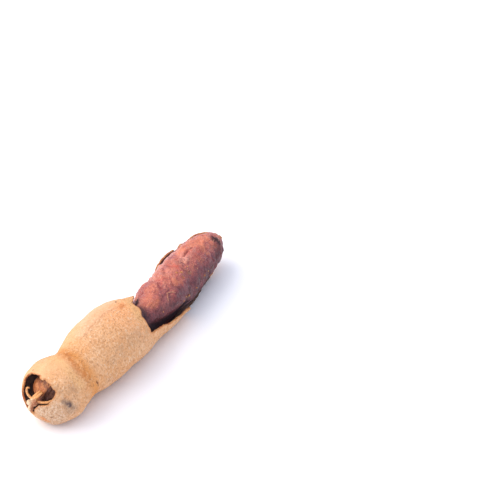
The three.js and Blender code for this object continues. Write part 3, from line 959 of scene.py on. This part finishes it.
# %% Fuse and roughen the stalk
stalk_parts = [tube("stub", STUB)] + [tube(f"string_{k}", rows) for k, rows in enumerate(STRINGS)]
for *middle, radius in LUMPS:
    bpy.ops.object.select_all(action="DESELECT")
    bpy.ops.mesh.primitive_uv_sphere_add(
        segments=24, ring_count=16, radius=radius * MM, location=(Vector(middle) + SHIFT) * MM
    )
    bpy.ops.object.transform_apply(location=True, rotation=False, scale=False)
    stalk_parts.append(bpy.context.object)
stalk = join("pod_stalk", stalk_parts)
stalk.data.remesh_voxel_size = 0.12 * MM
bpy.ops.object.voxel_remesh()
ease = stalk.modifiers.new("ease", "SMOOTH")
ease.factor = 0.5
ease.iterations = 6
bpy.ops.object.modifier_apply(modifier=ease.name)
for vertex, normal in zip(stalk.data.vertices, [n.vector.copy() for n in stalk.data.vertex_normals]):
    at = vertex.co / MM
    fibre = noise.noise(Vector((at.x / 1.2, at.y / 0.5, at.z / 0.5)))
    vertex.co += normal * MM * (0.07 * fibre + 0.05 * noise.noise(at / 1.0))
bpy.ops.object.shade_smooth()
print("stalk triangles:", sum(len(f.vertices) - 2 for f in stalk.data.polygons))

# %% [markdown]
# ## Threads and crumbs
#
# When the husk is pulled off, thin strings stay stuck to the pulp, and so do crumbs of
# husk. Both are a fraction of a millimetre across. Each thread is a tube that follows the
# finished surface, half sunk in it. A crumb is a small icosphere, flattened and knocked out
# of shape, and set down flat on the pulp.

# %% Threads on the pulp
THREADS = [  # radius in mm, places as x and angle
    (0.16, [(11.4, 53), (10.5, 46), (9.3, 41), (8.3, 43), (7.5, 48), (6.9, 54)]),
    (0.13, [(30.4, 52), (29.6, 52), (28.4, 55)]),
    (0.12, [(49.2, 31), (48.0, 36), (46.5, 43)]),
    (0.11, [(52.6, 37), (51.6, 41), (50.4, 46)]),
    (0.10, [(45.4, 43), (44.4, 46)]),
    (0.15, [(14.0, -82), (19.0, -74), (24.0, -76), (27.0, -70)]),
    (0.14, [(37.0, -58), (41.0, -54), (44.0, -58)]),
]


def on_surface(piece, profile, x, angle, lift):
    """A point in mm, lifted off a piece's finished surface at a place, and the normal there."""
    start = Vector(skin_points(profile, at_x(profile, x), angle)) + SHIFT
    _, place, normal, _ = piece.closest_point_on_mesh(start * MM)
    return place / MM - SHIFT + normal * lift, normal


thread_parts = []
for number, (radius, places) in enumerate(THREADS):
    ends = [0.4] + [1.0] * (len(places) - 2) + [0.4]
    rows = [(*on_surface(pulp, pulp_profile, x, turn, radius * 0.4)[0], radius * end)
            for (x, turn), end in zip(places, ends)]
    thread_parts.append(tube(f"thread_{number}", rows))
threads = join("pulp_threads", thread_parts)
bpy.ops.object.shade_smooth()
print("thread triangles:", sum(len(f.vertices) - 2 for f in threads.data.polygons))

# %% Crumbs of husk on the pulp
CRUMBS = [  # x, angle, size in mm
    (20.9, 29, 0.55), (19.2, 22, 0.60), (19.8, 36, 0.34), (19.4, 43, 0.40), (26.4, 30, 0.28),
    (32.0, 83, 0.40), (19.0, 88, 0.45), (15.2, 90, 0.38), (17.0, 84, 0.26), (24.6, 88, 0.34),
    (35.6, 86, 0.30), (3.4, 66, 0.28), (40.0, -62, 0.42), (22.0, -84, 0.36), (9.0, -72, 0.44),
]

crumb_parts = []
for x, turn, size in CRUMBS:
    middle, normal = on_surface(pulp, pulp_profile, x, turn, 0.15 * size)
    bpy.ops.object.select_all(action="DESELECT")
    bpy.ops.mesh.primitive_ico_sphere_add(subdivisions=3, radius=1)
    crumb = bpy.context.object
    flat = normal.to_track_quat("Z", "X").to_matrix()
    for vertex in crumb.data.vertices:
        lump = 1 + 0.5 * noise.noise(vertex.co * 1.3 + Vector((x, turn, 0)))
        shape = Vector((vertex.co.x, 0.75 * vertex.co.y, 0.5 * vertex.co.z)) * lump * size
        vertex.co = (middle + SHIFT + flat @ shape) * MM
    crumb_parts.append(crumb)
crumbs = join("husk_crumbs", crumb_parts)
bpy.ops.object.shade_smooth()
print("crumb triangles:", sum(len(f.vertices) - 2 for f in crumbs.data.polygons))

# %% [markdown]
# ## Materials
#
# Object coordinates are in metres, so a Mapping node first turns them to millimetres, and
# every pattern's scale is then one over a real size. Colours go on as a painter's coats:
# each coat has a colour, a strength and masks that it shows through, such as a noise or a
# painted mark.

# %% Starting a material and painting it


def start_material(name):
    """A new material: its tree, its shader, and Object coordinates in millimetres."""
    material = bpy.data.materials.new(name)
    material.use_nodes = True
    tree = material.node_tree
    place = add_node(tree, "ShaderNodeTexCoord")
    millimetres = add_node(
        tree, "ShaderNodeMapping", {"Vector": place.outputs["Object"], "Scale": [1 / MM] * 3}
    )
    return material, tree, tree.nodes["Principled BSDF"], millimetres.outputs["Vector"]


def paint_coats(tree, colour, coats):
    """Paints coats over a colour. A coat is a colour, a strength and any number of masks; a
    mask is an output and the two values at which it is shut and wide open."""
    for code, strength, *masks in coats:
        for mask, shut, wide_open in masks:
            strength = add_node(
                tree, "ShaderNodeMapRange",
                {"Value": mask, "From Min": shut, "From Max": wide_open, "To Max": strength},
                interpolation_type="SMOOTHSTEP",
            ).outputs["Result"]
        coat = add_node(tree, "ShaderNodeMix", {0: strength, 6: colour, 7: srgb(code)}, data_type="RGBA")
        colour = coat.outputs[2]
    return colour


print("materials start from millimetres")

# %% [markdown]
# ### Husk skin
#
# The outside of a tamarind husk is a dry, corky bark, rough like fine sandpaper. Its scurf
# is pale tan grains over darker brown, quite matt, with no gloss at all. The real grains
# are about 0.3 mm; they are drawn at 0.5 to 0.75 mm, so that they show from arm's length.

# %% Husk skin
skin, tree, shader, at = start_material("tamarind_husk_skin")
noises = {}
drawn_out = add_node(tree, "ShaderNodeMapping", {"Vector": at, "Scale": (1, 1, 0.6)}).outputs["Vector"]
for name, where, size, detail in (
    ("patches", at, 8.0, 3), ("warmth", at, 4.5, 2), ("mottle", at, 2.4, 3),
    ("grain", drawn_out, 0.75, 3), ("dots", drawn_out, 0.48, 2),
):
    noises[name] = add_node(
        tree, "ShaderNodeTexNoise",
        {"Vector": where, "Scale": 1 / size, "Detail": detail, "Roughness": 0.6},
    ).outputs["Fac"]
marks = {
    name: add_node(tree, "ShaderNodeAttribute", attribute_name=name).outputs["Fac"]
    for name in (*HUSK_MARKS, "near_break")
}
# painted glare: the grain's colours show only outside the brightest lit tops
outside_glare = (marks["worn"], 1.1, 0.1)

colour = paint_coats(tree, srgb("#e4aa76"), [
    ("#ebb686", 1.00, (noises["patches"], 0.38, 0.62)),
    ("#dd9c69", 0.32, (noises["warmth"], 0.52, 0.66)),
    ("#d6ae88", 0.28, (noises["warmth"], 0.46, 0.34)),
    ("#d09668", 0.35, (noises["mottle"], 0.48, 0.68), outside_glare),
    ("#ffb276", 0.80, (marks["peach"], 0, 1)),
    ("#f3d3b1", 0.60, (noises["grain"], 0.52, 0.68), outside_glare),
    ("#f0cfae", 0.40, (noises["dots"], 0.54, 0.70), outside_glare),
    ("#edb97e", 0.90, (marks["neck_yellow"], 0, 1)),
    ("#e69a50", 1.00, (marks["neck_tan"], 0, 1), (noises["mottle"], 0.05, 0.62)),
    ("#c4733a", 0.75, (marks["neck_brown"], 0, 1), (noises["mottle"], 0.34, 0.58)),
    ("#b98158", 0.55, (noises["grain"], 0.48, 0.30), outside_glare),
    ("#a0653f", 0.60, (noises["dots"], 0.46, 0.28), outside_glare),
    # painted highlight on the lit top of the middle lobe
    ("#e6c3a3", 0.55, (marks["pale"], 0, 1)),
    # painted shade on the lower near side
    ("#ab8465", 0.60, (marks["dusk"], 0, 1), (noises["mottle"], 0.62, 0.40)),
    ("#d3ab88", 0.90, (marks["scurf"], 0, 0.9), (noises["mottle"], 0.00, 0.50)),
    ("#f0dcc4", 0.50, (marks["scurf"], 0, 0.8), (noises["dots"], 0.50, 0.64)),
    ("#b5734a", 0.35, (marks["scurf"], 0, 0.8), (noises["grain"], 0.45, 0.32)),
    ("#8a553c", 0.45, (marks["scurf"], 0, 0.8), (noises["dots"], 0.46, 0.34)),
    ("#94735c", 0.80, (marks["soot"], 0.05, 0.6), (noises["grain"], 0.85, 0.40)),
    ("#5e4d4c", 1.00, (marks["soot"], 0.4, 0.95), (noises["grain"], 0.85, 0.45)),
    ("#c98a62", 0.55, (marks["seam"], 0, 1), (noises["grain"], 0.64, 0.42)),
    ("#e0935c", 0.90, (marks["scar"], 0, 0.7)),
    ("#b8683c", 0.50, (marks["scar"], 0.2, 0.6), (noises["dots"], 0.48, 0.36)),
    ("#6f3519", 1.00, (marks["dark_spots"], 0.1, 0.9)),
    ("#c97e48", 0.80, (marks["near_break"], 0.3, 1), (noises["grain"], 0.40, 0.56)),
    # painted shade on the rim past the flap
    ("#563530", 0.90, (marks["stained_rim"], 0.2, 0.7)),
])
tree.links.new(colour, shader.inputs["Base Color"])
shader.inputs["Roughness"].default_value = 0.82
shader.inputs["Specular IOR Level"].default_value = 0.25

height = add_node(
    tree, "ShaderNodeMath", {0: noises["grain"], 1: noises["dots"]}, operation="ADD"
).outputs[0]
strength = add_node(
    tree, "ShaderNodeMapRange", {"Value": marks["worn"], "To Min": 0.9, "To Max": 0.3}
).outputs["Result"]
bump = add_node(tree, "ShaderNodeBump", {"Height": height, "Strength": strength, "Distance": 0.60 * MM})
tree.links.new(bump.outputs["Normal"], shader.inputs["Normal"])
print(skin.name, len(tree.nodes), "nodes")

# %% [markdown]
# ### Inner wall and broken edge
#
# Inside, the husk is a smooth, dark parchment with faint veins along it, stained by the
# pulp. Where it snapped, the wall shows its orange-brown, crumbly core.

# %% Inner wall
inner, tree, shader, at = start_material("husk_inner_parchment")
along_pod = add_node(tree, "ShaderNodeMapping", {"Vector": at, "Scale": (0.25, 1, 1)}).outputs["Vector"]
veins = add_node(
    tree, "ShaderNodeTexNoise", {"Vector": along_pod, "Scale": 1 / 0.9, "Detail": 3}
).outputs["Fac"]
colour = paint_coats(tree, srgb("#87706e"), [("#a88c7c", 1.0, (veins, 0.38, 0.68))])
tree.links.new(colour, shader.inputs["Base Color"])
shader.inputs["Roughness"].default_value = 0.6
bump = add_node(tree, "ShaderNodeBump", {"Height": veins, "Strength": 0.5, "Distance": 0.2 * MM})
tree.links.new(bump.outputs["Normal"], shader.inputs["Normal"])
print(inner.name, len(tree.nodes), "nodes")

# %% Broken edge
edge, tree, shader, at = start_material("husk_broken_edge")
crumbly, blotchy = (
    add_node(tree, "ShaderNodeTexNoise", {"Vector": at, "Scale": 1 / size, "Detail": 3}).outputs["Fac"]
    for size in (0.5, 1.7)
)
rim_shade = add_node(tree, "ShaderNodeAttribute", attribute_name="stained_rim").outputs["Fac"]
colour = paint_coats(tree, srgb("#a8673a"), [
    ("#d39b64", 1.0, (crumbly, 0.38, 0.62)),
    ("#b05a30", 0.8, (blotchy, 0.50, 0.64)),
    # painted shade on the rim past the flap, as on the skin beside it
    ("#3d2823", 0.9, (rim_shade, 0.2, 0.7)),
])
tree.links.new(colour, shader.inputs["Base Color"])
shader.inputs["Roughness"].default_value = 0.9
bump = add_node(tree, "ShaderNodeBump", {"Height": crumbly, "Strength": 0.8, "Distance": 0.3 * MM})
tree.links.new(bump.outputs["Normal"], shader.inputs["Normal"])
print(edge.name, len(tree.nodes), "nodes")

# The wall's faces take the material after the skin's, and the rim's the one after that, so
# the modifier is applied only now that the husk has all three.
for material in (skin, inner, edge):
    husk.data.materials.append(material)
crumbs.data.materials.append(edge)
bpy.ops.object.select_all(action="DESELECT")
husk.select_set(True)
bpy.context.view_layer.objects.active = husk
bpy.ops.object.modifier_apply(modifier=wall.name)
print("husk triangles:", sum(len(f.vertices) - 2 for f in husk.data.polygons))

# %% [markdown]
# ### Pulp
#
# Ripe tamarind pulp is a sugary, fibrous paste, the colour of a date, from rose-orange to
# purple-brown. One tone, from dark to light, is added up from painted light, lighter where
# the pulp is higher and further to +Y, and from soft clouds, streaks and fine grain, and a
# colour ramp turns it to colour. Wide clouds then drift it towards amber or plum. Its skin
# is slightly wet, so a clear coat lies over it, and light scatters a little way in.

# %% Tone of the pulp
paste, tree, shader, at = start_material("tamarind_pulp")
drawn_out = add_node(
    tree, "ShaderNodeMapping", {"Vector": at, "Scale": (1, 1, 0.55), "Rotation": (0.2, 0, 0)}
).outputs["Vector"]
noises = {}
for name, where, size, detail, twist in (
    ("clouds", at, 5.0, 3, 0.4),
    ("streaks", drawn_out, 1.6, 4, 0.9),
    ("fibres", drawn_out, 0.8, 3, 0.6),
    ("fine", at, 0.5, 2, 0.0),
    ("specks", at, 0.32, 1, 0.0),
):
    noises[name] = add_node(
        tree, "ShaderNodeTexNoise",
        {"Vector": where, "Scale": 1 / size, "Detail": detail, "Roughness": 0.6, "Distortion": twist},
    ).outputs["Fac"]
veins = add_node(
    tree, "ShaderNodeTexNoise",
    {"Vector": drawn_out, "Scale": 1 / 2.6, "Detail": 4.0, "Roughness": 0.55, "Distortion": 0.6},
    noise_type="RIDGED_MULTIFRACTAL",
).outputs["Fac"]
marks = {
    name: add_node(tree, "ShaderNodeAttribute", attribute_name=name).outputs["Fac"]
    for name in (*PULP_MARKS, "creased", "sunk")
}

# painted light: the higher the pulp and the further towards +Y, where the key lamp stands, the lighter its
# tone
place_on_pulp = add_node(tree, "ShaderNodeSeparateXYZ", {"Vector": at}).outputs
side = add_node(tree, "ShaderNodeMath", {0: place_on_pulp["Z"], 1: place_on_pulp["Y"]}, operation="ADD")
lit_side = add_node(
    tree, "ShaderNodeMapRange", {"Value": side.outputs[0], "From Min": 4, "From Max": 17},
    interpolation_type="SMOOTHSTEP",
).outputs["Result"]
# painted shade: the tone is lowered in the creases
TONE_WEIGHTS = ((lit_side, 0.58), (noises["clouds"], 0.55), (noises["streaks"], 0.55),
                (noises["fibres"], 0.50), (noises["fine"], 0.55), (marks["creased"], -0.25))
from_noises = sum(weight for _, weight in TONE_WEIGHTS[1:5])
tone = 0.17 - 0.5 * from_noises  # the noises lie round a half
for source, weight in TONE_WEIGHTS:
    tone = add_node(
        tree, "ShaderNodeMath", {0: source, 1: weight, 2: tone}, operation="MULTIPLY_ADD"
    ).outputs[0]

ramp = add_node(tree, "ShaderNodeValToRGB", {"Fac": tone})
PASTE_COLOURS = (
    (0.0, "#4a262c"), (0.25, "#70373b"), (0.5, "#984d4b"), (0.75, "#c06a5b"), (1.0, "#dc957e"),
)
for stop, (position, code) in enumerate(PASTE_COLOURS):
    stops = ramp.color_ramp.elements
    step = stops[stop] if stop < 2 else stops.new(position)
    step.position = position
    step.color = srgb(code)
print("tone from", len(TONE_WEIGHTS), "sources")

# %% Colour and gloss of the pulp
streaked = (noises["streaks"], 0.25, 0.60)
colour = paint_coats(tree, ramp.outputs["Color"], [
    ("#cc7a4c", 0.42, (noises["clouds"], 0.50, 0.66), (lit_side, 0.2, 0.6)),
    ("#87526c", 0.34, (noises["clouds"], 0.46, 0.32), (lit_side, 0.0, 0.5)),
    # painted highlight on the swellings, and the veins' own orange-tan
    ("#dd8060", 0.80, (marks["orange"], 0, 1), streaked),
    # painted shade in the valleys and on the lower near side
    ("#70454f", 0.85, (marks["purple"], 0, 1), (noises["clouds"], 0.20, 0.60),
     (noises["fibres"], 0.70, 0.35)),
    # painted highlight on the far rim and the crests
    ("#e0a090", 0.65, (marks["rose"], 0, 1), (noises["fibres"], 0.25, 0.60)),
    ("#c4574a", 0.75, (marks["red"], 0, 1), (noises["fibres"], 0.15, 0.50)),
    ("#97484a", 0.80, (marks["maroon"], 0, 1), (noises["fibres"], 0.15, 0.50)),
    # painted shade in the creases
    ("#8a3a3a", 0.70, (marks["creased"], 0.3, 1)),
    # painted sheen
    ("#a98b94", 0.80, (marks["film"], 0, 1), (noises["fine"], 0.25, 0.60)),
    ("#7b5a40", 0.85, (marks["olive"], 0.2, 0.9), (noises["fibres"], 0.30, 0.55)),
    # pale flecks of fibre, with painted light: bright on the lit side, a dimmer copy on the shaded side
    ("#e6b39c", 0.60, (noises["fine"], 0.62, 0.74), (lit_side, 0.1, 0.7)),
    ("#e9b9a6", 0.50, (noises["specks"], 0.60, 0.72), (lit_side, 0.2, 0.8)),
    ("#5c3036", 0.50, (noises["specks"], 0.42, 0.28)),
    ("#a5706f", 0.45, (noises["specks"], 0.58, 0.72), (lit_side, 0.5, 0.1)),
    # painted shadow beside the husk; below, it is also made rougher and loses the clear coat
    ("#30252c", 0.92, (marks["dried"], 0.05, 0.95)),
    ("#a9643d", 1.00, (marks["stringy"], 0.25, 0.55)),
    ("#cd8553", 1.00, (marks["stringy"], 0.25, 0.55), (noises["streaks"], 0.38, 0.60)),
    ("#8a5541", 0.70, (marks["stringy"], 0.25, 0.55), (noises["clouds"], 0.54, 0.64)),
    ("#7d4a30", 0.60, (marks["stringy"], 0.25, 0.55), (noises["fine"], 0.50, 0.36)),
    # painted shade under the edge of the hole
    ("#75452f", 0.90, (marks["bruised"], 0, 1), (noises["streaks"], 0.66, 0.40)),
    # painted shade on the sunk, shaded side of the stem end
    ("#5c3831", 1.00, (marks["sunk"], 0.2, 0.8)),
    ("#865a47", 0.80, (marks["sunk"], 0.2, 0.8), (noises["streaks"], 0.40, 0.62)),
])
tree.links.new(colour, shader.inputs["Base Color"])
gloss = add_node(
    tree, "ShaderNodeMapRange",
    {"Value": noises["streaks"], "From Min": 0.3, "From Max": 0.7, "To Min": 0.34, "To Max": 0.6},
).outputs["Result"]
duller = add_node(
    tree, "ShaderNodeMath", {0: marks["dried"], 1: 0.4, 2: gloss}, operation="MULTIPLY_ADD", use_clamp=True
).outputs[0]
tree.links.new(duller, shader.inputs["Roughness"])
shader.inputs["Specular IOR Level"].default_value = 0.28
wet = add_node(tree, "ShaderNodeMapRange", {"Value": marks["dried"], "To Min": 0.14, "To Max": 0.0})
tree.links.new(wet.outputs["Result"], shader.inputs["Coat Weight"])
shader.inputs["Coat Roughness"].default_value = 0.18
shader.inputs["Subsurface Weight"].default_value = 0.08
shader.inputs["Subsurface Radius"].default_value = (1.0, 0.35, 0.2)
shader.inputs["Subsurface Scale"].default_value = 1.0 * MM
height = add_node(
    tree, "ShaderNodeMath", {0: noises["streaks"], 1: veins}, operation="SUBTRACT"
).outputs[0]
bump = add_node(tree, "ShaderNodeBump", {"Height": height, "Strength": 0.6, "Distance": 0.5 * MM})
fine_bump = add_node(
    tree, "ShaderNodeBump",
    {"Height": noises["fine"], "Strength": 0.7, "Distance": 0.30 * MM, "Normal": bump.outputs["Normal"]},
)
tree.links.new(fine_bump.outputs["Normal"], shader.inputs["Normal"])
pulp.data.materials.append(paste)
print(paste.name, len(tree.nodes), "nodes")

# %% [markdown]
# ### Stalk and threads
#
# Dry stalk wood is pale tan on the broken outside and orange-brown on the strings, matt,
# with fibres along it. The threads on the pulp are the same wood, soaked in its juice.

# %% Stalk
wood, tree, shader, at = start_material("dry_stalk_wood")
along_pod = add_node(tree, "ShaderNodeMapping", {"Vector": at, "Scale": (0.5, 1, 1)}).outputs["Vector"]
fibres = add_node(
    tree, "ShaderNodeTexNoise", {"Vector": along_pod, "Scale": 1 / 0.45, "Detail": 3}
).outputs["Fac"]
blotches = add_node(
    tree, "ShaderNodeTexNoise", {"Vector": at, "Scale": 1 / 1.4, "Detail": 2}
).outputs["Fac"]
reach = add_node(tree, "ShaderNodeSeparateXYZ", {"Vector": at}).outputs
colour = paint_coats(tree, srgb("#edcba6"), [
    ("#dd9c5e", 1.00, (reach["X"], -56.6, -55.4)),
    # painted shade: brown on the stub's -Y side, away from the key lamp
    ("#98532f", 0.95, (reach["Y"], 2.3, 1.4), (reach["X"], -55.3, -56.1)),
    ("#96603e", 0.50, (blotches, 0.48, 0.36)),
    ("#f3d6ad", 0.40, (fibres, 0.52, 0.66)),
])
tree.links.new(colour, shader.inputs["Base Color"])
shader.inputs["Roughness"].default_value = 0.75
bump = add_node(tree, "ShaderNodeBump", {"Height": fibres, "Strength": 0.7, "Distance": 0.25 * MM})
tree.links.new(bump.outputs["Normal"], shader.inputs["Normal"])
stalk.data.materials.append(wood)
print(wood.name, len(tree.nodes), "nodes")

# %% Threads
soaked, tree, shader, at = start_material("juice_soaked_fibre")
fibres = add_node(tree, "ShaderNodeTexNoise", {"Vector": at, "Scale": 1 / 0.5, "Detail": 2}).outputs["Fac"]
colour = paint_coats(tree, srgb("#9c5f4a"), [("#cb9478", 1.0, (fibres, 0.36, 0.64))])
tree.links.new(colour, shader.inputs["Base Color"])
shader.inputs["Roughness"].default_value = 0.5
bump = add_node(tree, "ShaderNodeBump", {"Height": fibres, "Strength": 0.5, "Distance": 0.1 * MM})
tree.links.new(bump.outputs["Normal"], shader.inputs["Normal"])
threads.data.materials.append(soaked)
print(soaked.name, len(tree.nodes), "nodes")

# %% [markdown]
# ## Hand the pieces over
#
# Each piece rides on the pod's one body. The husk, the pulp and the stalk stand for the CAD
# solids they were shaped from, which are hidden.

# %% Ride and replace
for piece, slot in ((husk, "shell"), (pulp, "pulp"), (stalk, "stem")):
    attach(piece, "root")
    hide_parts(slot)
for piece, slot in ((threads, "stem"), (crumbs, "shell")):
    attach(piece, "root")
